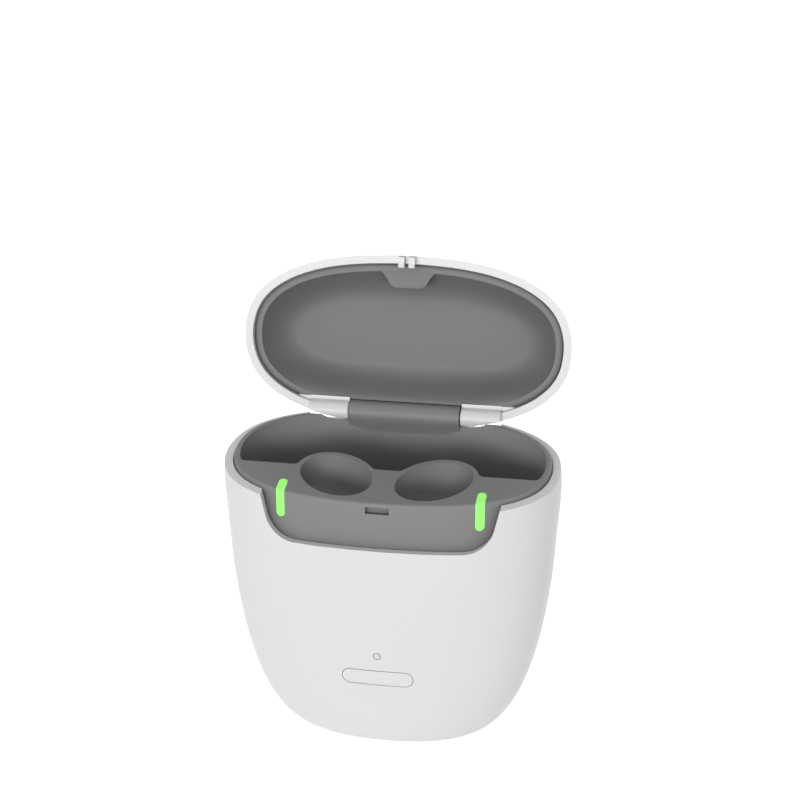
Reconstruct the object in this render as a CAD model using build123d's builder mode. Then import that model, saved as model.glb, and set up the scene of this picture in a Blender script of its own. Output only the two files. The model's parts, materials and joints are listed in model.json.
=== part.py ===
from build123d import *
from math import acos, asin, copysign, cos, pi, radians, sin, tan
import os

# Hearing aid charger, lid open. Millimetres, +Z up, the front faces -Y.
# The origin is the centre of the foot pad's underside, where the charger stands.

# Outer form of the case: stacked ovals, widest at the rim
body_width = 88.2
body_depth = 44.8
core_width = 36.0  # width that the side curve starts from at the floor
core_depth = 25.4
side_rise_power = 2.1
side_round_power = 2.77
oval_power = 2.4
rim_height = 74.8  # height of the parting plane on the case's centre line
rim_tilt = 14.7  # degrees, the parting plane drops towards the front
base_clearance = 0.4  # the foot pad lifts the shell this far
wall = 2.1
floor_thickness = 3.0

# Lid
lid_height = 16.0
lid_rise_power = 2.2
lid_round_power = 2.3
parting_gap = 0.25
liner_gap = 0.35
liner_band = 2.1
liner_floor = 9.5
liner_wall = 1.6
liner_rear = 16.4  # straight rear edge, in front of the hinge
pad_base_half = 10.1  # latch pad at the liner's front
pad_tip_half = 4.3
pad_front = -20.0
pad_tip = -14.2
nub_offset = 1.4  # two latch nubs hang from the lid's front lip
nub_width = 1.65
nub_length = 1.5
nub_centre = -22.15
nub_drop = 1.6
nub_root = 0.8
open_angle = 110.3

# Charging tray
tray_gap = 0.2  # between tray and shell
tray_wall = 1.6
deck_rise = 1.1  # deck above the parting plane
deck_thickness = 1.8
deck_rear = -6.1  # y of the straight rear edge of the deck
trough_floor = 61.0
tray_bottom = 56.5
well_centre = (12.8, -9.55)
well_radii = (10.35, 7.5)
well_turn = 28.5
well_floor = 63.5
well_floor_scale = 0.72
well_wall = 1.3
well_shoulder = 68.0  # the wells are straight above this height
trough_corner = 1.6
deck_round = 0.7
tray_post_radius = 2.3
tray_posts = ((-31.0, -9.0), (31.0, -9.0), (0.0, -14.0))

# Front scoop, latch slot, light bars
scoop_bottom = 58.5
scoop_half_top = 31.2
scoop_half_low = 28.0
scoop_radius = 8.0
slot_width = 6.1
slot_height = 1.8
slot_centre_height = 68.7
slot_depth = 1.1
bar_spacing = 51.5
bar_width = 2.3
bar_bottom = 64.1
bar_deck_run = 4.6
bar_gap = 0.05

# Hinge: axis given in the parting plane's own directions
hinge_back = 20.0
hinge_up = 0.98
knuckle_radius = 2.95
arm_radius = 2.4
knuckle_half = 15.0
hinge_half = 26.2
arm_reach = 4.5
hinge_gap = 0.3
pin_radius = 0.75
pin_half = 20.5
pin_clearance = 0.05
pin_seat = 0.02
knuckle_web_drop = 9.0  # the knuckle runs down into the trough's back wall
knuckle_web_lean = 2.0
knuckle_web_rear = 0.9

# Button and status light
button_length = 18.6
button_height = 4.1
button_level = 21.8
button_gap = 0.15
button_travel = 0.4
status_level = 28.4
status_radius = 0.85

# Charging socket at the back
socket_width = 8.94
socket_height = 3.2
socket_length = 7.0
socket_level = 14.0
socket_gap = 0.15

# Screws, all of one size
screw_radius = 0.7
screw_head = 1.5
screw_head_height = 1.0
screw_length = 6.0
screw_tip = 0.2  # room past the screw's end
screw_grip = 0.05  # drawn room round the thread
recess_width = 0.45
recess_depth = 0.4
seat_gap = 0.1

# Foot pad
foot_half_width = 17.0
foot_half_depth = 10.0
foot_thickness = 1.0
base_screw_places = ((-11.0, 0.0), (11.0, 0.0))

# Inner frame: an upright plate on a foot, with posts for the boards
frame_plate = 1.6
frame_half = 24.0
frame_foot_half = 15.0
frame_foot_front = -8.0
frame_foot_rear = 12.6
boss_radius = 2.4
boss_height = 5.1
post_radius = 2.0
lead_window = (10.0, 4.0, 53.0)  # width, height, level
ribbon_window = (8.0, 3.0, 6.5)

# Boards
board_thickness = 1.2
board_front = -12.2
board_half = 20.0
board_low = 9.0
board_top = 50.0
board_posts = ((-17.0, 12.5), (17.0, 12.5), (-17.0, 46.5), (17.0, 46.5))
usb_board_half = 9.0
usb_board_front = 8.4
usb_board_rear = 16.0
usb_posts = ((-7.0, 10.5), (7.0, 10.5))
tray_board_rear = 3.0
tray_board_gap = 0.3

# Switch, status light and chips
switch_side = 6.0
switch_height = 3.5
plunger_radius = 1.5
plunger_gap = 0.1
plunger_sink = 0.5  # how far the plunger reaches into the switch
switch_bore = 1.0
button_flange = 0.8
button_flange_rim = 0.85
led_side = 1.8
led_height = 0.6
light_end_gap = 0.2
light_flange_radius = 1.5
light_flange = 0.7
light_flange_front = 18.6
chip = (7.0, 7.0, 1.0)
chip_place = (-11.0, 36.0)
battery_plug = (8.0, 4.0, 3.5)
battery_plug_level = 42.0

# Battery
battery = (34.0, 7.0, 40.0)
battery_low = 9.0
battery_corner = 2.0
pad_thickness = 0.8
pad_margin = 2.0
lead_offset = 1.5
lead_radius = 0.5
lead_bend = 1.5

# Charging coils and the lights' LEDs
coil_place = (13.2, -12.7)
coil_radius = 4.6
coil_hole = 2.0
coil_thickness = 1.2
ferrite_radius = 4.8
ferrite_thickness = 1.2
bar_led = (2.8, 1.2)
bar_led_y = -13.0

# Ribbons
ribbon_thickness = 0.3
ribbon_width = 5.0
tray_ribbon_width = 8.0
tray_ribbon_x = 8.0
tray_ribbon_low = 44.0

# Socket details
socket_skin = 0.35
socket_back = 0.5
socket_end = 18.9
tongue = (6.7, 0.7, 4.5)
tongue_root = 1.0

tilt = radians(rim_tilt)
rim_slope = tan(tilt)
dome_turn = radians(81)  # the dome ends in a small flat here
inner_gap = wall + tray_gap
shell_floor = base_clearance + floor_thickness
tray_under = trough_floor - deck_thickness  # the tray's underside, where its board sits
frame_top = tray_under - board_thickness
tray_screw_run = screw_length - frame_plate - board_thickness
board_rear = board_front + board_thickness
button_rear = -board_front + switch_height + button_travel + button_flange / 2


def size_at(height, inset=0.0):
    """Half width and half depth of the case's oval at a height."""
    share = min(height / rim_height, 1.0)
    spread = (1 - (1 - share) ** side_rise_power) ** (1 / side_round_power)
    half_x = (core_width + (body_width - core_width) * spread) / 2
    half_y = (core_depth + (body_depth - core_depth) * spread) / 2
    return half_x - inset, half_y - inset


def half_depth_at(x, height, inset=0.0):
    """Distance from the centre plane to the case's surface at x."""
    half_x, half_y = size_at(height, inset)
    return half_y * (1 - abs(x / half_x) ** oval_power) ** (1 / oval_power)


def oval(half_x, half_y, shift=0.0):
    """A rounded oval, fuller than an ellipse, as a face."""
    count = 24
    points = []
    for i in range(count):
        turn = 2 * pi * (i + 0.5) / count
        x = half_x * copysign(abs(cos(turn)) ** (2 / oval_power), cos(turn))
        y = half_y * copysign(abs(sin(turn)) ** (2 / oval_power), sin(turn))
        points.append((x, y + shift))
    with BuildSketch() as outline:
        with BuildLine():
            Spline(*points, periodic=True)
        make_face()
    return outline.sketch


def case_form(inset, low):
    """The case's form from a height to above the rim, moved inwards by an inset."""
    steps = 8
    start = acos((1 - low / rim_height) ** (side_rise_power / 2))
    turns = [start + (pi / 2 - start) * i / steps for i in range(steps + 1)]
    heights = [rim_height * (1 - cos(turn) ** (2 / side_rise_power)) for turn in turns]
    with BuildPart() as form:
        for height in heights + [rim_height + lid_height]:
            with BuildSketch(Plane.XY.offset(height)):
                add(oval(*size_at(height, inset)))
        loft()
    return form.part


def rim_plane(rise=0.0):
    """The parting plane, or one parallel to it above it."""
    normal = (0, -sin(tilt), cos(tilt))
    start = Vector(0, 0, rim_height) + Vector(*normal) * rise
    return Plane(origin=start, x_dir=(1, 0, 0), z_dir=normal)


def lid_form(inset, low, top):
    """The closed lid's form above a level, moved inwards by an inset."""
    steps = 8
    start = asin((low / top) ** (lid_rise_power / 2))
    with BuildPart() as form:
        for i in range(steps + 1):
            turn = start + (dome_turn - start) * i / steps
            level = top * sin(turn) ** (2 / lid_rise_power)
            shrink = cos(turn) ** (2 / lid_round_power)
            lean = 0.5 * level * rim_slope
            half_x = (body_width / 2 - inset) * shrink
            half_y = (body_depth / 2 / cos(tilt) - inset - lean) * shrink
            with BuildSketch(rim_plane(level)):
                add(oval(half_x, half_y, lean))
        loft()
    return form.part


def above_rim(rise):
    """A block that fills everything above a level over the parting plane."""
    with BuildPart() as block:
        with BuildSketch(rim_plane(rise)):
            Rectangle(2 * body_width, 2 * body_width)
        extrude(amount=2 * lid_height)
    return block.part


hinge_axis = rim_plane().from_local_coords(Vector(0, hinge_back, hinge_up))
hinge_line = Axis(hinge_axis, (1, 0, 0))
hinge_plane = Plane(origin=hinge_axis, x_dir=(0, cos(tilt), sin(tilt)), z_dir=(1, 0, 0))


def opened(piece):
    """Turns a piece of the closed lid to the open rest pose."""
    return piece.rotate(hinge_line, -open_angle)


def hinge_round(radius, start, end):
    """A cylinder on the hinge axis between two x positions."""
    with BuildPart() as barrel:
        with BuildSketch(hinge_plane.offset(start)):
            Circle(radius)
        extrude(amount=end - start)
    return barrel.part


# Room that the lid's arms sweep behind the hinge, cut from shell and tray
sweep_start = Vector(arm_radius + hinge_gap, 0).rotate(Axis.Z, -open_angle)
sweep_run = Vector(body_depth / 3, 0).rotate(Axis.Z, 90 - open_angle)
with BuildPart() as hinge_sweep:
    with BuildSketch(hinge_plane.offset(-hinge_half)):
        with BuildLine():
            Polyline(
                (sweep_start.X, arm_radius),
                (sweep_start.X, sweep_start.Y),
                (sweep_start.X + sweep_run.X, sweep_start.Y + sweep_run.Y),
                (sweep_start.X + sweep_run.X, arm_radius),
                close=True,
            )
        make_face()
        Circle(arm_radius + hinge_gap)
    extrude(amount=2 * hinge_half)

# Body shell: one moulded cup, open at the tilted rim and scooped at the front
case_outer = case_form(0, base_clearance)
arm_start = knuckle_half + hinge_gap
knuckle_room = hinge_round(knuckle_radius + hinge_gap, -arm_start, arm_start)
with BuildPart() as body_shell:
    add(case_outer)
    add(case_form(wall, shell_floor), mode=Mode.SUBTRACT)
    add(above_rim(0), mode=Mode.SUBTRACT)
    add(hinge_sweep.part, mode=Mode.SUBTRACT)
    add(knuckle_room, mode=Mode.SUBTRACT)
    with BuildSketch(Plane.XZ.offset(body_depth / 4)):
        with BuildLine():
            FilletPolyline(
                (-scoop_half_top, rim_height + lid_height),
                (-scoop_half_top, rim_height - 3),
                (-scoop_half_low, scoop_bottom),
                (scoop_half_low, scoop_bottom),
                (scoop_half_top, rim_height - 3),
                (scoop_half_top, rim_height + lid_height),
                radius=scoop_radius,
                close=True,
            )
        make_face()
    extrude(amount=body_depth, mode=Mode.SUBTRACT)
    with BuildSketch(Plane.XZ.offset(body_depth / 4)):
        with Locations((0, button_level)):
            SlotOverall(button_length + 2 * button_gap, button_height + 2 * button_gap)
        with Locations((0, status_level)):
            Circle(status_radius + button_gap)
    extrude(amount=body_depth, mode=Mode.SUBTRACT)
    with BuildSketch(Plane.XZ.offset(-body_depth / 4)):
        with Locations((0, socket_level)):
            SlotOverall(socket_width + 2 * socket_gap, socket_height + 2 * socket_gap)
    extrude(amount=-body_depth, mode=Mode.SUBTRACT)
    with BuildSketch(Plane.XY):
        add(oval(foot_half_width + seat_gap, foot_half_depth + seat_gap))
    extrude(amount=foot_thickness, mode=Mode.SUBTRACT)
    with BuildSketch(Plane.XY.offset(foot_thickness)):
        with Locations(*base_screw_places):
            Circle(screw_head + seat_gap)
    extrude(amount=screw_head_height, mode=Mode.SUBTRACT)
    with BuildSketch(Plane.XY):
        with Locations(*base_screw_places):
            Circle(screw_radius + seat_gap)
    extrude(amount=2 * floor_thickness, mode=Mode.SUBTRACT)
body_shell.part.label = "body_shell"

# Charging tray: deck with two wells, trough behind, front face and hinge knuckle
tray_form = case_form(inner_gap, tray_bottom)


def well_outline(side, margin, scale=1.0):
    """One well's oval in plan, mirrored for the other ear."""
    with BuildSketch() as outline:
        with Locations(Location((side * well_centre[0], well_centre[1], 0), (0, 0, side * well_turn))):
            Ellipse(well_radii[0] * scale + margin, well_radii[1] * scale + margin)
    return outline.sketch


def half_oval(low, inset, edge, front):
    """The tray's inner outline at a height, kept in front of or behind a line."""
    middle = edge - body_depth / 2 if front else edge + body_depth / 2
    with BuildSketch() as outline:
        add(oval(*size_at(low, inset)))
        with Locations((0, middle)):
            Rectangle(body_width, body_depth, mode=Mode.INTERSECT)
    return outline.sketch


tray_inset = inner_gap + tray_wall
under_deck_edge = deck_rear - tray_wall

with BuildPart() as trough:
    with BuildSketch(Plane.XY.offset(trough_floor)):
        add(half_oval(rim_height, tray_inset, deck_rear, front=False))
        for side in (-1, 1):
            add(well_outline(side, well_wall), mode=Mode.SUBTRACT)
        corners = vertices().filter_by_position(Axis.Y, deck_rear - 0.01, deck_rear + 0.01)
        fillet(corners, radius=trough_corner)
    extrude(amount=2 * lid_height)

with BuildPart() as under_deck:
    with BuildSketch(Plane.XY.offset(tray_bottom)):
        add(half_oval(tray_bottom, tray_inset, under_deck_edge, front=True))
    extrude(amount=lid_height)
    add(above_rim(deck_rise - deck_thickness), mode=Mode.SUBTRACT)
    for side in (-1, 1):
        with BuildSketch(Plane.XY.offset(well_floor - well_wall)):
            add(well_outline(side, well_wall))
        extrude(amount=lid_height, mode=Mode.SUBTRACT)
    with BuildSketch(Plane.XY.offset(tray_under)):
        with Locations(*tray_posts):
            Circle(tray_post_radius)
    extrude(amount=lid_height, mode=Mode.SUBTRACT)


def well_room(side):
    """The hollow of one well, narrowing to its floor."""
    with BuildPart() as room:
        with BuildSketch(Plane.XY.offset(well_floor)):
            add(well_outline(side, 0, well_floor_scale))
        with BuildSketch(Plane.XY.offset(well_shoulder)):
            add(well_outline(side, 0))
        loft()
        with BuildSketch(Plane.XY.offset(well_shoulder)):
            add(well_outline(side, 0))
        extrude(amount=lid_height)
    return room.part


# The tray's outside, and the skin of it that the light bars fill
with BuildPart() as tray_block:
    add(tray_form)
    add(above_rim(deck_rise), mode=Mode.SUBTRACT)
    fillet(faces().sort_by(Axis.Z)[-1].edges(), radius=deck_round)
with BuildPart() as bar_hollow:
    add(case_form(inner_gap + tray_wall, tray_bottom))
    add(above_rim(deck_rise - tray_wall), mode=Mode.SUBTRACT)
with BuildPart() as bar_skin:
    add(tray_block.part)
    add(bar_hollow.part, mode=Mode.SUBTRACT)
bar_form = bar_skin.part
tray_face = half_depth_at(0, slot_centre_height, inner_gap)


def light_bar(side, margin):
    """A light guide that runs up the tray's face and bends onto the deck."""
    x = side * bar_spacing / 2
    face = half_depth_at(x, rim_height, inner_gap)
    width = bar_width + 2 * margin
    rear = -face + bar_deck_run + margin
    low = bar_bottom - margin
    with BuildPart() as bar:
        with BuildSketch(Plane.XZ.offset(-rear)):
            with Locations((x, low + lid_height / 2)):
                SlotOverall(lid_height, width, rotation=90)
        extrude(amount=bar_deck_run + tray_wall)
        with BuildSketch(Plane.XY.offset(low)):
            with Locations((x, rear - bar_deck_run)):
                SlotOverall(2 * bar_deck_run, width, rotation=90)
        extrude(amount=lid_height, mode=Mode.INTERSECT)
        add(bar_form, mode=Mode.INTERSECT)
    return bar.part


with BuildPart() as knuckle_web:
    with BuildSketch(hinge_plane.offset(-knuckle_half)):
        with BuildLine():
            Polyline(
                (-knuckle_radius, 0),
                (-knuckle_radius + knuckle_web_lean, -knuckle_web_drop),
                (knuckle_web_rear, -knuckle_web_drop),
                (knuckle_web_rear, 0),
                close=True,
            )
        make_face()
    extrude(amount=2 * knuckle_half)
    add(tray_form, mode=Mode.INTERSECT)

with BuildPart() as charging_tray:
    add(tray_block.part)
    add(trough.part, mode=Mode.SUBTRACT)
    add(under_deck.part, mode=Mode.SUBTRACT)
    with BuildSketch(Plane.XY.offset(tray_bottom)):
        add(half_oval(tray_bottom, tray_inset, under_deck_edge, front=False))
    extrude(amount=tray_under - tray_bottom, mode=Mode.SUBTRACT)
    for side in (-1, 1):
        add(well_room(side), mode=Mode.SUBTRACT)
    add(hinge_sweep.part, mode=Mode.SUBTRACT)
    add(knuckle_web.part)
    add(hinge_round(knuckle_radius, -knuckle_half, knuckle_half))
    add(hinge_round(pin_radius, -knuckle_half, knuckle_half), mode=Mode.SUBTRACT)
    with BuildSketch(Plane.XZ.offset(tray_face - slot_depth)):
        with Locations((0, slot_centre_height)):
            Rectangle(slot_width, slot_height)
    extrude(amount=2 * slot_depth, mode=Mode.SUBTRACT)
    with BuildSketch(Plane.XY.offset(tray_under)):
        with Locations(*tray_posts):
            Circle(screw_radius + screw_grip)
    extrude(amount=tray_screw_run + screw_tip, mode=Mode.SUBTRACT)
    for bar in (light_bar(-1, bar_gap), light_bar(1, bar_gap)):
        add(bar, mode=Mode.SUBTRACT)
charging_tray.part.label = "charging_tray"

# Light bars, one for each side's charge
with BuildPart() as charge_light_left:
    add(light_bar(-1, 0))
charge_light_left.part.label = "charge_light_left"
with BuildPart() as charge_light_right:
    add(light_bar(1, 0))
charge_light_right.part.label = "charge_light_right"

# Lid shell, modelled closed: dome, hinge arms and two latch nubs on the front lip
lid_outer = lid_form(0, parting_gap, lid_height)
lid_rear = hinge_back + arm_radius
arm_run = hinge_half - hinge_gap - arm_start
liner_low = deck_rise + liner_gap

with BuildPart() as lid_arms:
    for side in (-1, 1):
        with BuildSketch(hinge_plane.offset(side * arm_start)):
            Circle(arm_radius)
        extrude(amount=side * arm_run)
    add(case_outer, mode=Mode.INTERSECT)

with BuildPart() as hinge_block:
    with BuildSketch(rim_plane(liner_low)):
        with Locations((0, liner_rear + seat_gap + lid_height / 2)):
            Rectangle(body_width, lid_height)
        Rectangle(2 * arm_start, body_depth * 2, mode=Mode.SUBTRACT)
    extrude(amount=arm_reach)
    add(lid_outer, mode=Mode.INTERSECT)

with BuildPart() as latch_nubs:
    with BuildSketch(rim_plane(-nub_drop)):
        with Locations((-nub_offset, nub_centre), (nub_offset, nub_centre)):
            Rectangle(nub_width, nub_length)
    extrude(amount=nub_drop + nub_root)

pin_bore = hinge_round(pin_radius + pin_clearance, -pin_half - hinge_gap, pin_half + hinge_gap)
with BuildPart() as closed_lid:
    add(lid_outer)
    add(lid_form(wall, parting_gap, lid_height - wall), mode=Mode.SUBTRACT)
    add(hinge_block.part)
    with BuildSketch(rim_plane(parting_gap)):
        with Locations((0, lid_rear + lid_height / 2)):
            Rectangle(2 * hinge_half, lid_height)
    extrude(amount=arm_reach, mode=Mode.SUBTRACT)
    add(lid_arms.part)
    add(latch_nubs.part)
    add(knuckle_room, mode=Mode.SUBTRACT)
    add(pin_bore, mode=Mode.SUBTRACT)
lid_shell = opened(closed_lid.part)
lid_shell.label = "lid_shell"

# Lid liner: flat band round the rim, a rounded hollow and a latch pad at the front
with BuildPart() as liner_hollow:
    add(lid_form(wall + seat_gap + liner_band, liner_low, lid_height - wall))
    add(above_rim(liner_floor), mode=Mode.SUBTRACT)
    with BuildSketch(rim_plane(liner_low)):
        with Locations((0, liner_rear - liner_wall - body_depth)):
            Rectangle(body_width, 2 * body_depth)
    extrude(amount=lid_height, mode=Mode.INTERSECT)

liner_outer = lid_form(wall + seat_gap, liner_low, lid_height - wall - seat_gap)
with BuildPart() as latch_pad:
    with BuildSketch(rim_plane(liner_low)):
        with BuildLine():
            Polyline(
                (-pad_base_half, pad_front),
                (-pad_tip_half, pad_tip),
                (pad_tip_half, pad_tip),
                (pad_base_half, pad_front),
                close=True,
            )
        make_face()
    extrude(amount=liner_floor - liner_low)
    add(liner_outer, mode=Mode.INTERSECT)

with BuildPart() as closed_liner:
    add(liner_outer)
    add(above_rim(liner_floor + liner_wall), mode=Mode.SUBTRACT)
    with BuildSketch(rim_plane(liner_low)):
        with Locations((0, liner_rear + body_depth)):
            Rectangle(2 * body_width, 2 * body_depth)
    extrude(amount=lid_height, mode=Mode.SUBTRACT)
    add(liner_hollow.part, mode=Mode.SUBTRACT)
    add(latch_pad.part)
lid_liner = opened(closed_liner.part)
lid_liner.label = "lid_liner"

# Hinge pin through the centre knuckle and both arms
hinge_pin = hinge_round(pin_radius - pin_seat, -pin_half, pin_half)
hinge_pin.label = "hinge_pin"

# Foot pad under the case, over the two base screws
with BuildPart() as rubber_foot:
    with BuildSketch(Plane.XY):
        add(oval(foot_half_width, foot_half_depth))
    extrude(amount=foot_thickness)
rubber_foot.part.label = "rubber_foot"


def under_plane(height):
    """A level plane that faces down."""
    return Plane(origin=(0, 0, height), x_dir=(-1, 0, 0), z_dir=(0, 0, -1))


def screws(seat, places):
    """Pan head screws, with their heads on the outer side of the seat plane."""
    with BuildPart() as group:
        with BuildSketch(seat):
            with Locations(*places):
                Circle(screw_head)
        extrude(amount=screw_head_height)
        with BuildSketch(seat):
            with Locations(*places):
                Circle(screw_radius)
        extrude(amount=-screw_length)
        with BuildSketch(seat.offset(screw_head_height - recess_depth)):
            with Locations(*places):
                Rectangle(2 * screw_radius, recess_width)
                Rectangle(recess_width, 2 * screw_radius)
        extrude(amount=recess_depth, mode=Mode.SUBTRACT)
    return group.part


usb_board_top = socket_level - socket_height / 2
usb_board_low = usb_board_top - board_thickness
base_seat = foot_thickness + screw_head_height
board_seat = Plane.XZ.offset(-board_front)

with BuildPart() as base_screws:
    add(screws(under_plane(base_seat), base_screw_places))
base_screws.part.label = "base_screws"
with BuildPart() as board_screws:
    add(screws(board_seat, board_posts))
board_screws.part.label = "board_screws"
with BuildPart() as usb_board_screws:
    add(screws(Plane.XY.offset(usb_board_top), usb_posts))
usb_board_screws.part.label = "usb_board_screws"
with BuildPart() as tray_screws:
    add(screws(under_plane(frame_top - frame_plate), tray_posts))
tray_screws.part.label = "tray_screws"

# Inner frame
with BuildPart() as inner_frame:
    with BuildSketch(Plane.XY.offset(shell_floor)):
        with Locations((0, -frame_plate / 2)):
            Rectangle(2 * frame_half, frame_plate)
    extrude(amount=frame_top - shell_floor)
    with BuildSketch(Plane.XY.offset(shell_floor)):
        with Locations((0, (frame_foot_front + frame_foot_rear) / 2)):
            Rectangle(2 * frame_foot_half, frame_foot_rear - frame_foot_front)
    extrude(amount=frame_plate)
    with BuildSketch(Plane.XY.offset(shell_floor)):
        with Locations(*base_screw_places):
            Circle(boss_radius)
    extrude(amount=boss_height)
    with BuildSketch(Plane.XY.offset(shell_floor)):
        with Locations(*usb_posts):
            Circle(post_radius)
    extrude(amount=usb_board_low - shell_floor)
    with BuildSketch(Plane.XZ.offset(frame_plate / 2)):
        with Locations(*board_posts):
            Circle(post_radius)
    extrude(amount=-board_rear - frame_plate / 2)
    with BuildSketch(Plane.XY.offset(frame_top - frame_plate)):
        with Locations((0, -frame_plate / 2)):
            Rectangle(tray_posts[1][0] - tray_posts[0][0], frame_plate)
        for x, y in tray_posts:
            with Locations((x, y / 2)):
                Rectangle(2 * tray_post_radius, -y)
            with Locations((x, y)):
                Circle(tray_post_radius)
    extrude(amount=frame_plate)
    with BuildSketch(Plane.XZ):
        with Locations((0, lead_window[2])):
            Rectangle(lead_window[0], lead_window[1])
        with Locations((0, ribbon_window[2])):
            Rectangle(ribbon_window[0], ribbon_window[1])
    extrude(amount=frame_plate, mode=Mode.SUBTRACT)
    with BuildSketch(Plane.XY.offset(shell_floor)):
        with Locations(*base_screw_places):
            Circle(screw_radius + screw_grip)
    extrude(amount=base_seat + screw_length + screw_tip - shell_floor, mode=Mode.SUBTRACT)
    with BuildSketch(Plane.XY.offset(usb_board_top)):
        with Locations(*usb_posts):
            Circle(screw_radius + screw_grip)
    extrude(amount=-screw_length - screw_tip, mode=Mode.SUBTRACT)
    with BuildSketch(board_seat):
        with Locations(*board_posts):
            Circle(screw_radius + screw_grip)
    extrude(amount=-screw_length - screw_tip, mode=Mode.SUBTRACT)
    with BuildSketch(Plane.XY.offset(frame_top - frame_plate)):
        with Locations(*tray_posts):
            Circle(screw_radius + seat_gap)
    extrude(amount=frame_plate, mode=Mode.SUBTRACT)
inner_frame.part.label = "inner_frame"

# Main board, with the switch, the status LED and the charge controller on its front
with BuildPart() as main_board:
    with BuildSketch(board_seat):
        with Locations((0, (board_low + board_top) / 2)):
            Rectangle(2 * board_half, board_top - board_low)
        with Locations(*board_posts):
            Circle(screw_radius + seat_gap, mode=Mode.SUBTRACT)
    extrude(amount=-board_thickness)
main_board.part.label = "main_board"

with BuildPart() as tact_switch:
    with BuildSketch(board_seat):
        with Locations((0, button_level)):
            Rectangle(switch_side, switch_side)
    extrude(amount=switch_height)
    with BuildSketch(board_seat.offset(switch_height)):
        with Locations((0, button_level)):
            Circle(plunger_radius + plunger_gap)
    extrude(amount=-switch_bore, mode=Mode.SUBTRACT)
tact_switch.part.label = "tact_switch"

with BuildPart() as switch_plunger:
    with BuildSketch(board_seat.offset(switch_height - plunger_sink)):
        with Locations((0, button_level)):
            Circle(plunger_radius)
    extrude(amount=button_rear + board_front - switch_height + plunger_sink)
switch_plunger.part.label = "switch_plunger"

with BuildPart() as status_led:
    with BuildSketch(board_seat):
        with Locations((0, status_level)):
            Rectangle(led_side, led_side)
    extrude(amount=led_height)
status_led.part.label = "status_led"

with BuildPart() as charge_controller:
    with BuildSketch(board_seat):
        with Locations(chip_place):
            Rectangle(chip[0], chip[1])
    extrude(amount=chip[2])
charge_controller.part.label = "charge_controller"

# Status button, flush with the case, with a lip that keeps it in
with BuildPart() as status_button:
    with BuildSketch(Plane.XZ.offset(button_rear)):
        with Locations((0, button_level)):
            SlotOverall(button_length, button_height)
    extrude(amount=body_depth / 4)
    add(case_outer, mode=Mode.INTERSECT)
    with BuildSketch(Plane.XZ.offset(button_rear)):
        with Locations((0, button_level)):
            SlotOverall(button_length + 2 * button_flange_rim, button_height + 2 * button_flange_rim)
    extrude(amount=button_flange)
status_button.part.label = "status_button"

# Light pipe of the status light
with BuildPart() as status_light:
    with BuildSketch(board_seat.offset(led_height + light_end_gap)):
        with Locations((0, status_level)):
            Circle(status_radius)
    extrude(amount=body_depth / 4)
    add(case_outer, mode=Mode.INTERSECT)
    with BuildSketch(Plane.XZ.offset(light_flange_front - light_flange)):
        with Locations((0, status_level)):
            Circle(light_flange_radius)
    extrude(amount=light_flange)
status_light.part.label = "status_light"

# Battery cell on its foam pad, its leads and their plug on the main board's back
battery_top = battery_low + battery[2]
with BuildPart() as battery_pad:
    with BuildSketch(Plane.XY.offset(battery_low + pad_margin)):
        with Locations((0, pad_thickness / 2)):
            Rectangle(battery[0] - 2 * pad_margin, pad_thickness)
    extrude(amount=battery[2] - 2 * pad_margin)
battery_pad.part.label = "battery_pad"

with BuildPart() as battery_cell:
    with BuildSketch(Plane.XY.offset(battery_low)):
        with Locations((0, pad_thickness + battery[1] / 2)):
            RectangleRounded(battery[0], battery[1], battery_corner)
    extrude(amount=battery[2])
battery_cell.part.label = "battery_cell"

with BuildPart() as battery_socket:
    with BuildSketch(Plane.XZ.offset(-board_rear)):
        with Locations((0, battery_plug_level)):
            Rectangle(battery_plug[0], battery_plug[1])
    extrude(amount=-battery_plug[2])
battery_socket.part.label = "battery_socket"

lead_start = pad_thickness + battery[1] / 2
lead_end = board_rear + battery_plug[2] / 2
with BuildPart() as battery_leads:
    for x in (-lead_offset, lead_offset):
        with BuildLine(Plane.YZ.offset(x)) as lead_path:
            FilletPolyline(
                (lead_start, battery_top),
                (lead_start, lead_window[2]),
                (lead_end, lead_window[2]),
                (lead_end, battery_plug_level + battery_plug[1] / 2),
                radius=lead_bend,
            )
        with BuildSketch(Plane.XY.offset(battery_top)):
            with Locations((x, lead_start)):
                Circle(lead_radius)
        sweep(path=lead_path.line)
battery_leads.part.label = "battery_leads"

# Socket board at the back
with BuildPart() as usb_board:
    with BuildSketch(Plane.XY.offset(usb_board_low)):
        with Locations((0, (usb_board_front + usb_board_rear) / 2)):
            Rectangle(2 * usb_board_half, usb_board_rear - usb_board_front)
        with Locations(*usb_posts):
            Circle(screw_radius + seat_gap, mode=Mode.SUBTRACT)
    extrude(amount=board_thickness)
usb_board.part.label = "usb_board"

hollow_depth = socket_length - socket_back
with BuildPart() as usb_c_socket:
    with BuildSketch(Plane.XZ.offset(-socket_end)):
        with Locations((0, socket_level)):
            SlotOverall(socket_width, socket_height)
    extrude(amount=socket_length)
    with BuildSketch(Plane.XZ.offset(-socket_end)):
        with Locations((0, socket_level)):
            SlotOverall(socket_width - 2 * socket_skin, socket_height - 2 * socket_skin)
    extrude(amount=hollow_depth, mode=Mode.SUBTRACT)
usb_c_socket.part.label = "usb_c_socket"

root_inset = socket_skin + screw_grip
with BuildPart() as usb_c_tongue:
    with BuildSketch(Plane.XZ.offset(hollow_depth - socket_end)):
        with Locations((0, socket_level)):
            SlotOverall(socket_width - 2 * root_inset, socket_height - 2 * root_inset)
    extrude(amount=-tongue_root)
    with BuildSketch(Plane.XZ.offset(hollow_depth - socket_end)):
        with Locations((0, socket_level)):
            Rectangle(tongue[0], tongue[1])
    extrude(amount=-tongue_root - tongue[2])
usb_c_tongue.part.label = "usb_c_tongue"

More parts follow.
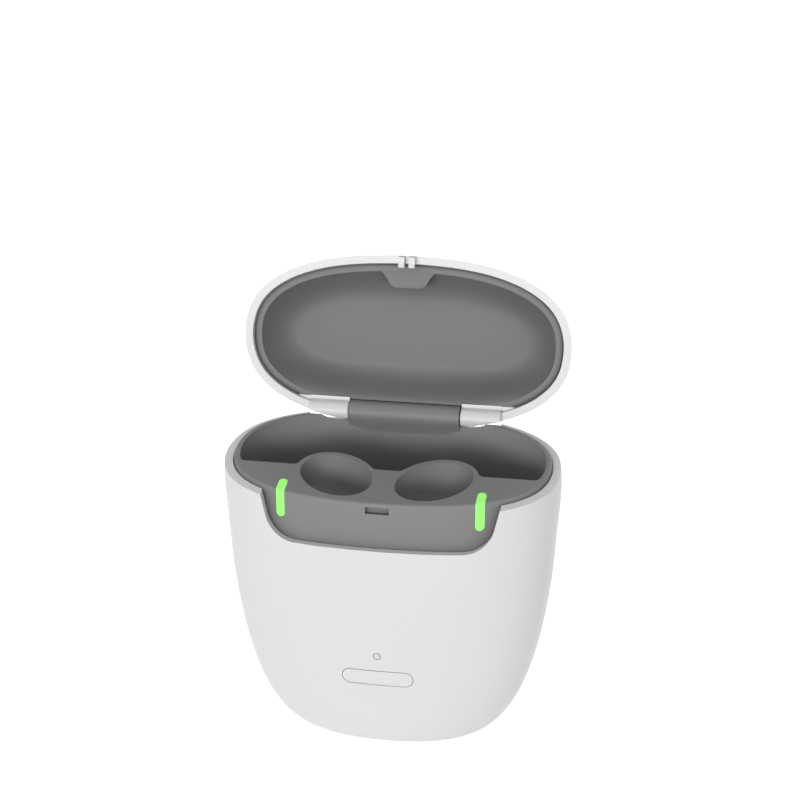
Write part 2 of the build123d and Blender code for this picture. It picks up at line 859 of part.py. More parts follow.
# Ribbon from the socket board, under the battery and through the frame
ribbon_start = usb_board_front + ribbon_thickness
with BuildPart() as usb_ribbon:
    with BuildSketch(Plane.YZ):
        with BuildLine():
            Polyline(
                (ribbon_start, usb_board_low),
                (ribbon_start, ribbon_window[2]),
                (lead_end, ribbon_window[2]),
                (lead_end, board_low + board_thickness),
                (board_rear, board_low + board_thickness),
            )
        trace(line_width=ribbon_thickness)
    extrude(amount=ribbon_width / 2, both=True)
usb_ribbon.part.label = "usb_ribbon"

# Tray board under the tray, with coils below the wells and an LED below each light bar
with BuildPart() as tray_board:
    with BuildSketch(Plane.XY.offset(frame_top)):
        add(half_oval(tray_bottom, tray_inset + tray_board_gap, tray_board_rear, front=True))
        with Locations(*tray_posts):
            Circle(screw_radius + seat_gap, mode=Mode.SUBTRACT)
    extrude(amount=board_thickness)
tray_board.part.label = "tray_board"

with BuildPart() as tray_ribbon:
    with BuildSketch(board_seat):
        with Locations((tray_ribbon_x, (tray_ribbon_low + frame_top) / 2)):
            Rectangle(tray_ribbon_width, frame_top - tray_ribbon_low)
    extrude(amount=ribbon_thickness)
tray_ribbon.part.label = "tray_ribbon"


def coil_disc(side, radius, hole, low, thickness):
    """A disc, with or without a hole, below one well."""
    with BuildPart() as disc:
        with BuildSketch(Plane.XY.offset(low)):
            with Locations((side * coil_place[0], coil_place[1])):
                Circle(radius)
                if hole:
                    Circle(hole, mode=Mode.SUBTRACT)
        extrude(amount=thickness)
    return disc.part


coil_low = tray_under + ferrite_thickness
with BuildPart() as coil_ferrite_left:
    add(coil_disc(-1, ferrite_radius, 0, tray_under, ferrite_thickness))
coil_ferrite_left.part.label = "coil_ferrite_left"
with BuildPart() as coil_ferrite_right:
    add(coil_disc(1, ferrite_radius, 0, tray_under, ferrite_thickness))
coil_ferrite_right.part.label = "coil_ferrite_right"
with BuildPart() as charging_coil_left:
    add(coil_disc(-1, coil_radius, coil_hole, coil_low, coil_thickness))
charging_coil_left.part.label = "charging_coil_left"
with BuildPart() as charging_coil_right:
    add(coil_disc(1, coil_radius, coil_hole, coil_low, coil_thickness))
charging_coil_right.part.label = "charging_coil_right"

with BuildPart() as bar_leds:
    with BuildSketch(Plane.XY.offset(tray_under)):
        with Locations((-bar_spacing / 2, bar_led_y), (bar_spacing / 2, bar_led_y)):
            Rectangle(bar_led[0], bar_led[0])
    extrude(amount=bar_led[1])
bar_leds.part.label = "bar_leds"

pieces = (
    body_shell.part,
    charging_tray.part,
    charge_light_left.part,
    charge_light_right.part,
    lid_shell,
    lid_liner,
    hinge_pin,
    rubber_foot.part,
    base_screws.part,
    board_screws.part,
    usb_board_screws.part,
    tray_screws.part,
    inner_frame.part,
    main_board.part,
    tact_switch.part,
    switch_plunger.part,
    status_led.part,
    charge_controller.part,
    status_button.part,
    status_light.part,
    battery_pad.part,
    battery_cell.part,
    battery_socket.part,
    battery_leads.part,
    usb_board.part,
    usb_c_socket.part,
    usb_c_tongue.part,
    usb_ribbon.part,
    tray_board.part,
    tray_ribbon.part,
    coil_ferrite_left.part,
    coil_ferrite_right.part,
    charging_coil_left.part,
    charging_coil_right.part,
    bar_leds.part,
)
os.makedirs("parts", exist_ok=True)
for piece in pieces:
    export_step(piece, f"parts/{piece.label}.step")
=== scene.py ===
import json
import math

import bmesh
import bpy
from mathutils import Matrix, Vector


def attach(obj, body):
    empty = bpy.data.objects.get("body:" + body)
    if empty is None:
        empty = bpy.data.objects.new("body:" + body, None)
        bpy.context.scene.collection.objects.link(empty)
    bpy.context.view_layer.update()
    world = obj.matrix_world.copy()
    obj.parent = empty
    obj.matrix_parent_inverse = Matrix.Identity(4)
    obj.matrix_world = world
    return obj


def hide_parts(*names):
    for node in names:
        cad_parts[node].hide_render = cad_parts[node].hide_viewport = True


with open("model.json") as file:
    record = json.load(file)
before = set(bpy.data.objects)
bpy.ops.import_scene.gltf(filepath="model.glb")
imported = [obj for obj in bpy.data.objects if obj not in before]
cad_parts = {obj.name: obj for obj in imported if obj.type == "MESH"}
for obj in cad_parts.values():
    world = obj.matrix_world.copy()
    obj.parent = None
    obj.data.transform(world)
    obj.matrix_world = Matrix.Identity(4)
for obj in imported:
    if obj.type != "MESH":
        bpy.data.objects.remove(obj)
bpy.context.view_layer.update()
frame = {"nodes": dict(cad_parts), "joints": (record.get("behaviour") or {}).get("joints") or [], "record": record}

# Camera, from a fit to the photograph
CAMERA_AT = Vector((0.08212, -0.42747, 0.2448))
CAMERA_AIM = Vector((0.00227, -0.0005, 0.09171))
LENS_MM = 80.634
SENSOR_MM = 36.0
LAMP_AIM = (0.0, 0.0, 0.06)

# Colours of the main plastics and of the lit bars
WHITE = (0.8, 0.795, 0.795)
TRAY_GREY = (0.235, 0.235, 0.236)
LINER_GREY = (0.21, 0.21, 0.211)
GLOW_GREEN = (0.21, 0.6, 0.12)

# Painted shade in gaps and hollows: the grey it ends in, and its reach in metres
SEAM_PAINTED_SHADE = (0.12, 0.0004)
TRAY_PAINTED_SHADE = (0.1, 0.012)
LINER_PAINTED_SHADE = (0.015, 0.03)

# Backdrop: the floor's own grey, what it adds where it is seen, and the world as light and as seen
FLOOR_REACH = 6.0
FLOOR_GREY = 0.88
FLOOR_GLARE = 0.75
WORLD_LIGHT, WORLD_SEEN = 0.46, 1.0


def new_material(name):
    """An empty node material with its shader and output."""
    material = bpy.data.materials.new(name)
    material.use_nodes = True
    tree = material.node_tree
    tree.nodes.clear()
    out = tree.nodes.new("ShaderNodeOutputMaterial")
    shader = tree.nodes.new("ShaderNodeBsdfPrincipled")
    tree.links.new(shader.outputs[0], out.inputs[0])
    return material, tree, shader


def vary(tree, shader, color, spread, scale):
    """Gives a surface a slight cloudy change of colour, in object space."""
    coords = tree.nodes.new("ShaderNodeTexCoord")
    cloud = tree.nodes.new("ShaderNodeTexNoise")
    cloud.inputs["Scale"].default_value = scale
    cloud.inputs["Detail"].default_value = 3.0
    ramp = tree.nodes.new("ShaderNodeValToRGB")
    low, high = ramp.color_ramp.elements
    low.position, high.position = 0.3, 0.7
    low.color = [c * (1 - spread) for c in color] + [1]
    high.color = [min(c * (1 + spread), 1.0) for c in color] + [1]
    tree.links.new(coords.outputs["Object"], cloud.inputs["Vector"])
    tree.links.new(cloud.outputs["Fac"], ramp.inputs["Fac"])
    tree.links.new(ramp.outputs["Color"], shader.inputs["Base Color"])
    return coords


def grain(tree, shader, coords, scale, depth, rough, rough_spread):
    """Fine moulded grain, as bump and as a slight change of roughness."""
    spots = tree.nodes.new("ShaderNodeTexNoise")
    spots.inputs["Scale"].default_value = scale
    spots.inputs["Detail"].default_value = 2.0
    bump = tree.nodes.new("ShaderNodeBump")
    bump.inputs["Strength"].default_value = 1.0
    bump.inputs["Distance"].default_value = depth
    spread = tree.nodes.new("ShaderNodeMapRange")
    spread.inputs["To Min"].default_value = rough - rough_spread
    spread.inputs["To Max"].default_value = rough + rough_spread
    tree.links.new(coords.outputs["Object"], spots.inputs["Vector"])
    tree.links.new(spots.outputs["Fac"], bump.inputs["Height"])
    tree.links.new(spots.outputs["Fac"], spread.inputs["Value"])
    tree.links.new(bump.outputs["Normal"], shader.inputs["Normal"])
    tree.links.new(spread.outputs["Result"], shader.inputs["Roughness"])


def paint_recess_shade(tree, shader, dark, reach):
    """Painted shade: darkens a surface's colour where it lies in a gap or hollow, to a grey, within a reach."""
    color = shader.inputs["Base Color"].links[0].from_socket
    near = tree.nodes.new("ShaderNodeAmbientOcclusion")
    near.samples = 16
    near.inputs["Distance"].default_value = reach
    shade = tree.nodes.new("ShaderNodeMix")
    shade.data_type = "RGBA"
    painted_shade = next(i for i in shade.inputs if i.name == "A" and i.type == "RGBA")
    full = next(i for i in shade.inputs if i.name == "B" and i.type == "RGBA")
    painted_shade.default_value = (dark, dark, dark, 1)
    tree.links.new(near.outputs["AO"], shade.inputs[0])
    tree.links.new(color, full)
    tree.links.new(next(o for o in shade.outputs if o.type == "RGBA"), shader.inputs["Base Color"])


def plastic(name, color, rough, scale=2500, depth=0.000004, spread=0.01, coat=0.0, painted_shade=None):
    """Moulded plastic with a faint grain, with painted shade in its recesses where asked.

    The grain's scale is per metre and its depth in metres; spread is the change of colour.
    """
    material, tree, shader = new_material(name)
    coords = vary(tree, shader, color, spread, scale=60)
    # Painted shade in gaps and hollows, from an ambient occlusion node mixed into the colour
    if painted_shade:
        paint_recess_shade(tree, shader, *painted_shade)
    grain(tree, shader, coords, scale, depth, rough, rough_spread=0.03)
    shader.inputs["IOR"].default_value = 1.46
    shader.inputs["Coat Weight"].default_value = coat
    shader.inputs["Coat Roughness"].default_value = 0.12
    return material


def metal(name, color, rough):
    """Metal with fine marks."""
    material, tree, shader = new_material(name)
    coords = vary(tree, shader, color, spread=0.05, scale=900)
    grain(tree, shader, coords, scale=6000, depth=0.000002, rough=rough, rough_spread=0.06)
    shader.inputs["Metallic"].default_value = 1.0
    return material


def glow(name, color, strength):
    """A lit diffuser, a little brighter in clouds."""
    material, tree, shader = new_material(name)
    coords = vary(tree, shader, color, spread=0.04, scale=250)
    grain(tree, shader, coords, scale=3000, depth=0.000002, rough=0.4, rough_spread=0.05)
    ramp = shader.inputs["Base Color"].links[0].from_socket
    tree.links.new(ramp, shader.inputs["Emission Color"])
    shader.inputs["Emission Strength"].default_value = strength
    return material


def board(name):
    """Green circuit board with a pattern of traces."""
    material, tree, shader = new_material(name)
    coords = tree.nodes.new("ShaderNodeTexCoord")
    bricks = tree.nodes.new("ShaderNodeTexBrick")
    bricks.inputs["Scale"].default_value = 420
    bricks.inputs["Color1"].default_value = (0.02, 0.13, 0.05, 1)
    bricks.inputs["Color2"].default_value = (0.025, 0.17, 0.06, 1)
    bricks.inputs["Mortar"].default_value = (0.06, 0.28, 0.1, 1)
    bricks.inputs["Mortar Size"].default_value = 0.03
    tree.links.new(coords.outputs["Object"], bricks.inputs["Vector"])
    tree.links.new(bricks.outputs["Color"], shader.inputs["Base Color"])
    grain(tree, shader, coords, scale=1500, depth=0.00001, rough=0.35, rough_spread=0.05)
    return material


# A look for each material slot of the record
finish = {
    # The white shell gets painted shade in its narrow gaps and seams
    "case_white": plastic(
        "shell_white", WHITE, 0.36, scale=4000, depth=0.0000005, spread=0.004, coat=0.1, painted_shade=SEAM_PAINTED_SHADE
    ),
    # The tray and the liner get painted shade in their hollows
    "tray_grey": plastic("tray_grey", TRAY_GREY, 0.5, painted_shade=TRAY_PAINTED_SHADE),
    "liner_grey": plastic("liner_grey", LINER_GREY, 0.5, painted_shade=LINER_PAINTED_SHADE),
    "light_green": glow("light_bar_green", GLOW_GREEN, 0.9),
    "lens_clear": plastic("status_lens", (0.72, 0.72, 0.73), 0.3),
    "steel": metal("pin_steel", (0.6, 0.6, 0.62), 0.3),
    "foot_rubber": plastic(
        "foot_rubber", (0.05, 0.05, 0.05), 0.75, scale=1200, depth=0.00002, spread=0.08
    ),
    "frame_plastic": plastic("frame_black", (0.04, 0.04, 0.042), 0.55),
    "board_green": board("circuit_board"),
    "switch_black": plastic("switch_black", (0.02, 0.02, 0.02), 0.45),
    "chip_black": plastic("chip_black", (0.015, 0.015, 0.016), 0.5),
    "led_white": plastic("led_white", (0.75, 0.72, 0.6), 0.35),
    "copper": metal("coil_copper", (0.75, 0.36, 0.18), 0.35),
    "ferrite": plastic("ferrite_grey", (0.05, 0.05, 0.055), 0.7, scale=900, depth=0.00002),
    "battery_foil": metal("battery_foil", (0.7, 0.7, 0.72), 0.4),
    "foam_pad": plastic(
        "foam_grey", (0.08, 0.08, 0.08), 0.9, scale=700, depth=0.00005, spread=0.1
    ),
    "lead_rubber": plastic("lead_red", (0.35, 0.02, 0.015), 0.5),
    "ribbon_film": plastic("ribbon_amber", (0.5, 0.2, 0.03), 0.35),
    "plug_white": plastic("plug_white", (0.7, 0.66, 0.55), 0.5),
}
slot_of = {part["node"]: part["material_slot"] for part in frame["record"]["subparts"]}
for name, solid in frame["nodes"].items():
    for place in solid.material_slots:
        place.material = finish[slot_of[name]]

# Closed lid's own directions in millimetres: x, v towards the hinge, w away from the case
MM = 0.001
RIM_TILT = math.radians(14.7)
LID_OPEN = math.radians(110.3)
HINGE = Vector(next(joint["pos_m"] for joint in frame["joints"] if joint["name"] == "lid_hinge"))
HINGE_V, HINGE_W = 20.0, 0.98
LID_HALF_X, LID_HALF_V = 44.1, 23.157
CASE_HALF_Y = 22.38
OVAL_POWER = 2.4  # of the oval that case, lid and liner share
BOTH_ENDS = (0, -1)  # rows of a piece that get a cap


def lid_place(x, v, w):
    """A point of the closed lid, turned to the open pose."""
    turn = RIM_TILT - LID_OPEN
    back, up = v - HINGE_V, w - HINGE_W
    y = back * math.cos(turn) - up * math.sin(turn)
    z = back * math.sin(turn) + up * math.cos(turn)
    return HINGE + Vector((x, y, z)) * MM


def add_object(name, data):
    """A new object in the scene."""
    thing = bpy.data.objects.new(name, data)
    bpy.context.scene.collection.objects.link(thing)
    return thing


def grid_piece(name, rows, body, material, caps=BOTH_ENDS, sharp=50):
    """Quads between closed rows of points, capped where asked, on a body."""
    count = len(rows[0])
    points = [point for row in rows for point in row]
    faces = []
    for r in range(len(rows) - 1):
        here, there = r * count, (r + 1) * count
        for i in range(count):
            j = (i + 1) % count
            faces.append((here + i, here + j, there + j, there + i))
    for r in caps:
        first = r % len(rows) * count
        faces.append(tuple(range(first, first + count)))
    mesh = bpy.data.meshes.new(name)
    mesh.from_pydata(points, [], faces)
    build = bmesh.new()
    build.from_mesh(mesh)
    bmesh.ops.recalc_face_normals(build, faces=build.faces)
    build.to_mesh(mesh)
    build.free()
    mesh.materials.append(material)
    mesh.polygons.foreach_set("use_smooth", [True] * len(mesh.polygons))
    mesh.set_sharp_from_angle(angle=math.radians(sharp))
    piece = add_object(name, mesh)
    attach(piece, body)
    return piece


def clamp(share):
    return min(max(share, 0.0), 1.0)


def rise(share, power):
    """From 0 to 1, quick at first and level at the end."""
    return 1 - (1 - clamp(share)) ** power


def smooth_step(share):
    """From 0 to 1, level at both ends."""
    share = clamp(share)
    return share * share * (3 - 2 * share)


def signed_power(value, power):
    return math.copysign(abs(value) ** power, value)


def oval_edge(x, half_x, half_y):
    """Where an oval's edge lies at x."""
    return half_y * (1 - abs(x / half_x) ** OVAL_POWER) ** (1 / OVAL_POWER)


# Liner in the lid: levels are w, insets are measured from its outline
LINER_TOP = 13.8  # where its outside would close
LINER_INSET = 2.2  # from the lid's own oval
LINER_POWERS = (2.2, 2.3)
LINER_FACE = 1.45
LINER_FLOOR = 9.5
LINER_BACK = 11.1
LINER_REAR = 16.4  # v of its straight rear edge
LINER_LIP, LIP_HALF = 16.92, 15.15  # v of that edge between the hinge arms, and its half width
LINER_BAND = 2.1  # flat band round the hollow
BAND_ROUND = 0.25
BAND_EDGE = 0.12
HOLLOW_RUN, HOLLOW_POWER = 9.5, 2.2
REAR_RUN, REAR_POWER = 9.0, 2.4
REAR_DEPTH = 0.06  # share of the depth left at the rear edge
LINER_COUNT = 400
LINER_LEVELS = (LINER_BACK, 10, 8.5, 7, 5.5, 4, 2.8, 1.9)
LINER_INSETS = [0.0, BAND_EDGE, 1.0, 1.8, 1.9, 2.0, 2.1, 2.25, 2.4, 2.7, 3.0, 3.4, 3.8, 4.3, 4.8]
LINER_INSETS += [5.4, 6, 6.7, 7.4, 8.2, 9, 9.8, 10.6, 11.4, 12.2]
LINER_INSETS += [13.0 + 0.8 * i for i in range(9)] + [20.3]


def rim_ring(half_x, half_v, shift, count):
    """Points round the lid's oval, with the rear cut straight."""
    ring = []
    for i in range(count):
        turn = 2 * math.pi * (i + 0.5) / count
        x = half_x * signed_power(math.cos(turn), 2 / OVAL_POWER)
        v = half_v * signed_power(math.sin(turn), 2 / OVAL_POWER) + shift
        ring.append((x, min(v, LINER_LIP if abs(x) < LIP_HALF else LINER_REAR)))
    return ring


def liner_half(level):
    """Half sizes and lean of the liner's outside at a level."""
    shrink = (1 - (level / LINER_TOP) ** LINER_POWERS[0]) ** (1 / LINER_POWERS[1])
    lean = 0.5 * level * math.tan(RIM_TILT)
    return (LID_HALF_X - LINER_INSET) * shrink, (LID_HALF_V - LINER_INSET - lean) * shrink, lean


def liner_level(inset, v):
    """Level of the liner's face: flat band, then a hollow that fades into its floor."""
    start = LINER_BAND - BAND_ROUND
    depth = rise((inset - start) / HOLLOW_RUN, HOLLOW_POWER)
    ease = clamp((inset - start) / BAND_ROUND)
    rear = REAR_DEPTH + (1 - REAR_DEPTH) * rise((LINER_REAR - v) / REAR_RUN, REAR_POWER)
    return LINER_FACE + (LINER_FLOOR - LINER_FACE) * depth * ease * rear


liner_rows = []
for level in LINER_LEVELS:
    half_x, half_v, lean = liner_half(level)
    ring = rim_ring(half_x, half_v, lean, LINER_COUNT)
    liner_rows.append([lid_place(x, v, level) for x, v in ring])
half_x, half_v, lean = liner_half(LINER_FACE)
for inset in LINER_INSETS:
    ring = rim_ring(half_x - inset, half_v - inset, lean, LINER_COUNT)
    edge = BAND_EDGE if inset == 0 else 0.0
    liner_rows.append([lid_place(x, v, liner_level(inset, v) + edge) for x, v in ring])
liner = grid_piece("liner_moulding", liner_rows, "lid", finish["liner_grey"])
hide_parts("lid_liner")

# Latch pad at the liner's front, its corners rounded
PAD_TIP_V = -14.2
PAD_RUN = 5.8
PAD_TIP_HALF = 4.3
PAD_SPREAD = 3.5
PAD_FLARE, PAD_FLARE_POWER = 1.8, 7
PAD_END = 0.88  # the pad ends behind the liner's band
PAD_STEPS = 40
PAD_CORNER, PAD_CORNER_SHARE = 1.1, 0.16
PAD_PULL = 6  # draws the smaller rings back from the tip
PAD_BASE = LINER_FACE + 0.03  # just clear of the band
PAD_MARGIN = 0.4  # kept free inside the liner's outside
PAD_SEARCH = 0.05
PAD_RINGS = ((9.9, 1.0), (4.0, 1.0), (1.75, 1.0), (1.56, 0.992), (1.48, 0.975))  # level, scale
PAD_SHARP = 35


def pad_depth(x, v, deepest):
    """Deepest level, no deeper than asked, that still lies inside the liner's outside."""
    level = PAD_BASE
    while level + PAD_SEARCH <= deepest:
        half_x, half_v, lean = liner_half(level + PAD_SEARCH)
        across, along = abs(x) / (half_x - PAD_MARGIN), abs(v - lean) / (half_v - PAD_MARGIN)
        if across**OVAL_POWER + along**OVAL_POWER > 1:
            break
        level += PAD_SEARCH
    return level


pad_side = []
for i in range(PAD_STEPS + 1):
    share = PAD_END * i / PAD_STEPS
    half = PAD_TIP_HALF + PAD_SPREAD * share + PAD_FLARE * (share / PAD_END) ** PAD_FLARE_POWER
    if share < PAD_CORNER_SHARE:
        half -= PAD_CORNER * (1 - share / PAD_CORNER_SHARE) ** 2
    pad_side.append((half, PAD_TIP_V - PAD_RUN * share))
pad_ring = [(-x, v) for x, v in reversed(pad_side)] + pad_side
pad_rows = []
for level, scale in PAD_RINGS:
    ring = []
    for x, v in pad_ring:
        x *= scale
        v = PAD_TIP_V + (v - PAD_TIP_V) * scale + (scale - 1) * PAD_PULL
        ring.append(lid_place(x, v, pad_depth(x, v, level)))
    pad_rows.append(ring)
pad = grid_piece("latch_pad", pad_rows, "lid", finish["liner_grey"], sharp=PAD_SHARP)

# Hinge arms: the lid's face runs onto each barrel over a softened corner, clear of the tray
ARM_START, ARM_END = 15.31, 26.08
ARM_FIRST, ARM_STEP, ARM_SECTIONS = 16.0, 0.5, 20
ARM_ROUND = 0.14
END_STEP, END_SHARE = 0.04, 0.4  # an end's middle section: how far in, and how much drawn in
ARM_LEAD = ((16.42, LINER_FACE), (16.9, 1.41), (17.2, 1.28))  # v and w up to the barrel
ARM_RADIUS = 2.46
ARM_SWELL, ARM_SWELL_STEPS = 0.17, 12
ARM_TURN, ARM_TURN_STEPS = (176, 400), 40  # degrees round the barrel


def arm_profile(radius):
    """Closed outline of an arm: from the liner's edge onto the barrel and round it."""
    outline = list(ARM_LEAD)
    for i in range(ARM_TURN_STEPS + 1):
        turn = math.radians(ARM_TURN[0] + (ARM_TURN[1] - ARM_TURN[0]) * i / ARM_TURN_STEPS)
        swell = radius + ARM_SWELL * max(1 - i / ARM_SWELL_STEPS, 0) ** 2
        outline.append((HINGE_V + swell * math.cos(turn), HINGE_W + swell * math.sin(turn)))
    return outline


# Sections along an arm: x, and how far each is drawn in
ARM_ENDS = ((0, ARM_ROUND), (END_STEP, END_SHARE * ARM_ROUND), (ARM_ROUND, 0))
arm_sections = [(ARM_START + step, less) for step, less in ARM_ENDS]
arm_sections += [(ARM_FIRST + ARM_STEP * i, 0) for i in range(ARM_SECTIONS)]
arm_sections += [(ARM_END - step, less) for step, less in reversed(ARM_ENDS)]
for side, word in ((-1, "left"), (1, "right")):
    arm_rows = []
    for x, less in arm_sections:
        back = oval_edge(x, LID_HALF_X, CASE_HALF_Y) - HINGE.y / MM
        ring = []
        for v, w in arm_profile(ARM_RADIUS - less):
            y = (v - HINGE_V) * math.cos(RIM_TILT) - (w - HINGE_W) * math.sin(RIM_TILT)
            ring.append(lid_place(side * x, v - max(y - back, 0) / math.cos(RIM_TILT), w))
        arm_rows.append(ring)
    arm = grid_piece("hinge_arm_" + word, arm_rows, "lid", finish["case_white"])

# Two latch hooks, turned in at the ends of the lid's nubs
HOOK_MIDDLE, HOOK_HALF = 1.375, 0.825
HOOK_V, HOOK_W = (-21.7, -20.15), (-1.6, -0.75)
HOOK_ROUND = 0.15
HOOK_SECTIONS = (  # v, and how far each is drawn in
    (HOOK_V[0], 0),
    (HOOK_V[1] - HOOK_ROUND, 0),
    (HOOK_V[1] - 0.04, 0.05),
    (HOOK_V[1], HOOK_ROUND),
)
HOOK_CORNERS = ((1, 1), (-1, 1), (-1, -1), (1, -1))
CORNER_STEPS = 4
hook_middle_w, hook_half_w = sum(HOOK_W) / 2, (HOOK_W[1] - HOOK_W[0]) / 2
for side, word in ((-1, "left"), (1, "right")):
    hook_rows = []
    for v, margin in HOOK_SECTIONS:
        ring = []
        for corner, (across, over) in enumerate(HOOK_CORNERS):
            corner_x = side * HOOK_MIDDLE + across * (HOOK_HALF - HOOK_ROUND)
            corner_w = hook_middle_w + over * (hook_half_w - HOOK_ROUND)
            for k in range(CORNER_STEPS + 1):
                turn = math.radians(90 * (corner + k / CORNER_STEPS))
                x = corner_x + (HOOK_ROUND - margin) * math.cos(turn)
                w = corner_w + (HOOK_ROUND - margin) * math.sin(turn)
                ring.append(lid_place(x, v, w))
        hook_rows.append(ring)
    hook = grid_piece("latch_hook_" + word, hook_rows, "lid", finish["case_white"])

# Well cups: smooth bowls inside the tray's two wells
WELL_CENTRE = (12.8, -9.55)
WELL_RADII = (10.35, 7.5)
WELL_TURN = math.radians(28.5)
WELL_FLOOR = 63.56
RIM_LEVEL = 74.8  # height of the case's rim at y = 0
DECK_RISE = 1.1
DECK_LEVEL = RIM_LEVEL + DECK_RISE / math.cos(RIM_TILT)
CUP_TOP = 0.12  # below the deck
CUP_FIT = 0.997  # share of the well's oval
CUP_POWERS = (0.85, 0.8)
CUP_RINGS, CUP_CLOSE = 25, 24.5  # the bowl would close at this ring
CUP_COUNT = 96
CUP_SHARP = 80


def cup_point(side, share, turn, depth):
    """A point of a bowl: share of the well's oval, and depth from the deck to the floor."""
    x, y = WELL_RADII[0] * share * math.cos(turn), WELL_RADII[1] * share * math.sin(turn)
    angle = side * WELL_TURN
    x, y = x * math.cos(angle) - y * math.sin(angle), x * math.sin(angle) + y * math.cos(angle)
    x, y = side * WELL_CENTRE[0] + x, WELL_CENTRE[1] + y
    top = DECK_LEVEL + y * math.tan(RIM_TILT) - CUP_TOP
    return Vector((x, y, top + (WELL_FLOOR - top) * depth)) * MM


cup_turns = [2 * math.pi * i / CUP_COUNT for i in range(CUP_COUNT)]
for side, word in ((-1, "left"), (1, "right")):
    cup_rows = []
    for i in range(CUP_RINGS):
        angle = math.pi / 2 * i / CUP_CLOSE
        share = CUP_FIT * math.cos(angle) ** CUP_POWERS[0]
        depth = math.sin(angle) ** CUP_POWERS[1]
        cup_rows.append([cup_point(side, share, turn, depth) for turn in cup_turns])
    cup = grid_piece(
        "well_cup_" + word, cup_rows, "base", finish["tray_grey"], caps=(-1,), sharp=CUP_SHARP
    )

# Knuckle cover: runs from the barrel's top down its front and fades into the trough's back wall
KNUCKLE_HALF = 14.97
KNUCKLE_RADIUS = 2.98
KNUCKLE_FADE = 6.0  # height of the fade in the middle
KNUCKLE_SIDE_FADE = 4.2  # and at both ends
KNUCKLE_SIDE = 10.0  # x where the fade starts to shorten
KNUCKLE_SECTIONS, FADE_STEPS = 40, 20
KNUCKLE_BACK = 19.9
KNUCKLE_FOOT, KNUCKLE_HEAD = 71.0, 80.0
BARREL_DEGREES = range(60, 181, 10)
WALL_HALF_X, WALL_HALF_Y = 40.2, 18.6  # oval of the trough's back wall
hinge_y, hinge_z = HINGE.y / MM, HINGE.z / MM
front = hinge_y - KNUCKLE_RADIUS
knuckle_rows = []
for i in range(KNUCKLE_SECTIONS + 1):
    x = -KNUCKLE_HALF + 2 * KNUCKLE_HALF * i / KNUCKLE_SECTIONS
    wall = oval_edge(x, WALL_HALF_X, WALL_HALF_Y)
    side = smooth_step((abs(x) - KNUCKLE_SIDE) / (KNUCKLE_HALF - KNUCKLE_SIDE))
    length = KNUCKLE_FADE + (KNUCKLE_SIDE_FADE - KNUCKLE_FADE) * side
    profile = [(KNUCKLE_BACK, KNUCKLE_FOOT), (KNUCKLE_BACK, KNUCKLE_HEAD)]
    for degrees in BARREL_DEGREES:
        turn = math.radians(degrees)
        y, z = KNUCKLE_RADIUS * math.cos(turn), KNUCKLE_RADIUS * math.sin(turn)
        profile.append((hinge_y + y, hinge_z + z))
    for k in range(1, FADE_STEPS + 1):
        drop = KNUCKLE_FADE * (k / FADE_STEPS)
        profile.append((wall - (wall - front) * (1 - smooth_step(drop / length)), hinge_z - drop))
    knuckle_rows.append([Vector((x, y, z)) * MM for y, z in profile])
knuckle = grid_piece("knuckle_cover", knuckle_rows, "base", finish["tray_grey"])


def seen_rays(tree):
    """A socket that is 1 for rays from the camera, off a gloss or through glass, else 0."""
    path = tree.nodes.new("ShaderNodeLightPath")
    seen = path.outputs["Is Camera Ray"]
    for ray in ("Is Glossy Ray", "Is Transmission Ray"):
        either = tree.nodes.new("ShaderNodeMath")
        either.operation = "MAXIMUM"
        tree.links.new(seen, either.inputs[0])
        tree.links.new(path.outputs[ray], either.inputs[1])
        seen = either.outputs[0]
    return seen


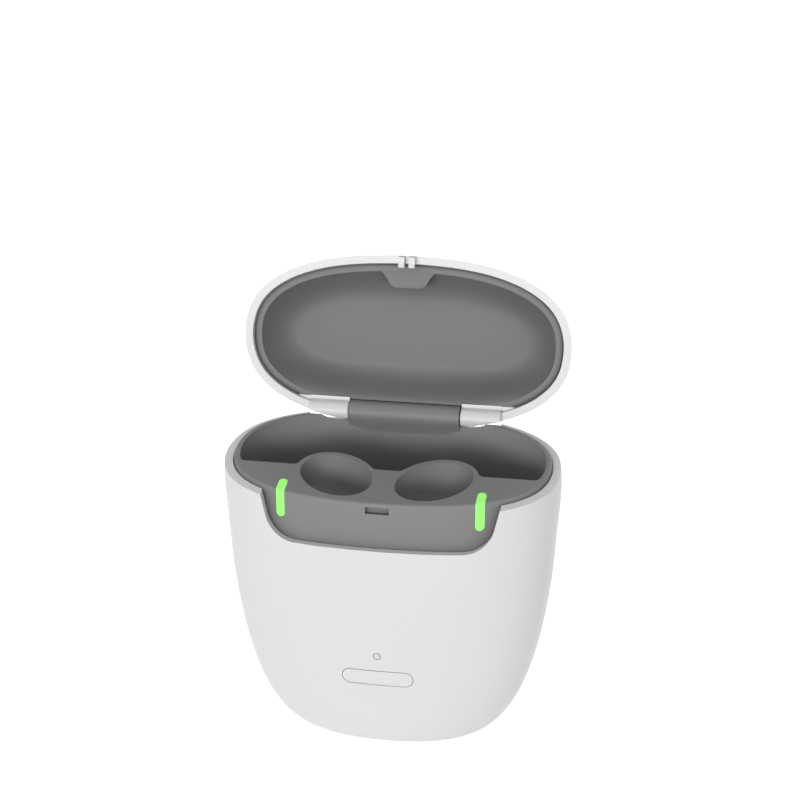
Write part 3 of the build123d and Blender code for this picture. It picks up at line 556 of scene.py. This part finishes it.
# Floor, seen white with a trace of the charger's shadow
floor_mesh = bpy.data.meshes.new("floor")
low, high = -FLOOR_REACH, FLOOR_REACH
floor_corners = [(low, low, 0), (high, low, 0), (high, high, 0), (low, high, 0)]
floor_mesh.from_pydata(floor_corners, [], [(0, 1, 2, 3)])
floor = add_object("floor", floor_mesh)
paper = bpy.data.materials.new("floor_paper")
paper.use_nodes = True
tree = paper.node_tree
tree.nodes.clear()
matte = tree.nodes.new("ShaderNodeBsdfDiffuse")
matte.inputs["Color"].default_value = (FLOOR_GREY, FLOOR_GREY, FLOOR_GREY, 1)
glare = tree.nodes.new("ShaderNodeMath")
glare.operation = "MULTIPLY"
glare.inputs[1].default_value = FLOOR_GLARE
shine = tree.nodes.new("ShaderNodeEmission")
both = tree.nodes.new("ShaderNodeAddShader")
out = tree.nodes.new("ShaderNodeOutputMaterial")
tree.links.new(seen_rays(tree), glare.inputs[0])
tree.links.new(glare.outputs[0], shine.inputs["Strength"])
tree.links.new(matte.outputs[0], both.inputs[0])
tree.links.new(shine.outputs[0], both.inputs[1])
tree.links.new(both.outputs[0], out.inputs[0])
floor_mesh.materials.append(paper)

# World: white to the camera and in reflections, softer as light
world = bpy.data.worlds.new("studio")
bpy.context.scene.world = world
world.use_nodes = True
tree = world.node_tree
tree.nodes.clear()
strength = tree.nodes.new("ShaderNodeMapRange")
strength.inputs["To Min"].default_value = WORLD_LIGHT
strength.inputs["To Max"].default_value = WORLD_SEEN
sky = tree.nodes.new("ShaderNodeBackground")
sky.inputs["Color"].default_value = (1, 1, 1, 1)
out = tree.nodes.new("ShaderNodeOutputWorld")
tree.links.new(seen_rays(tree), strength.inputs["Value"])
tree.links.new(strength.outputs["Result"], sky.inputs["Strength"])
tree.links.new(sky.outputs[0], out.inputs[0])


def aim_at(thing, place, aim):
    """Puts a lamp or camera at a place, turned to what it aims at."""
    thing.location = place
    thing.rotation_euler = (Vector(aim) - Vector(place)).to_track_quat("-Z", "Y").to_euler()


def soft_light(name, place, width, height, power):
    """A soft box, aimed at the charger."""
    data = bpy.data.lights.new(name, "AREA")
    data.shape = "RECTANGLE"
    data.size = width
    data.size_y = height
    data.energy = power
    aim_at(add_object(name, data), place, LAMP_AIM)


soft_light("key", (-0.2, -1.4, 0.1), width=1.5, height=0.6, power=16.4)
soft_light("side", (0.9, 0.1, 0.25), width=0.5, height=0.5, power=0.3)
soft_light("back", (0.3, 1.5, 0.6), width=1.2, height=1.0, power=6.0)

camera_data = bpy.data.cameras.new("view")
camera_data.lens = LENS_MM
camera_data.sensor_width = SENSOR_MM
camera = add_object("view", camera_data)
aim_at(camera, CAMERA_AT, CAMERA_AIM)
bpy.context.scene.camera = camera
bpy.context.scene.view_settings.view_transform = "Standard"
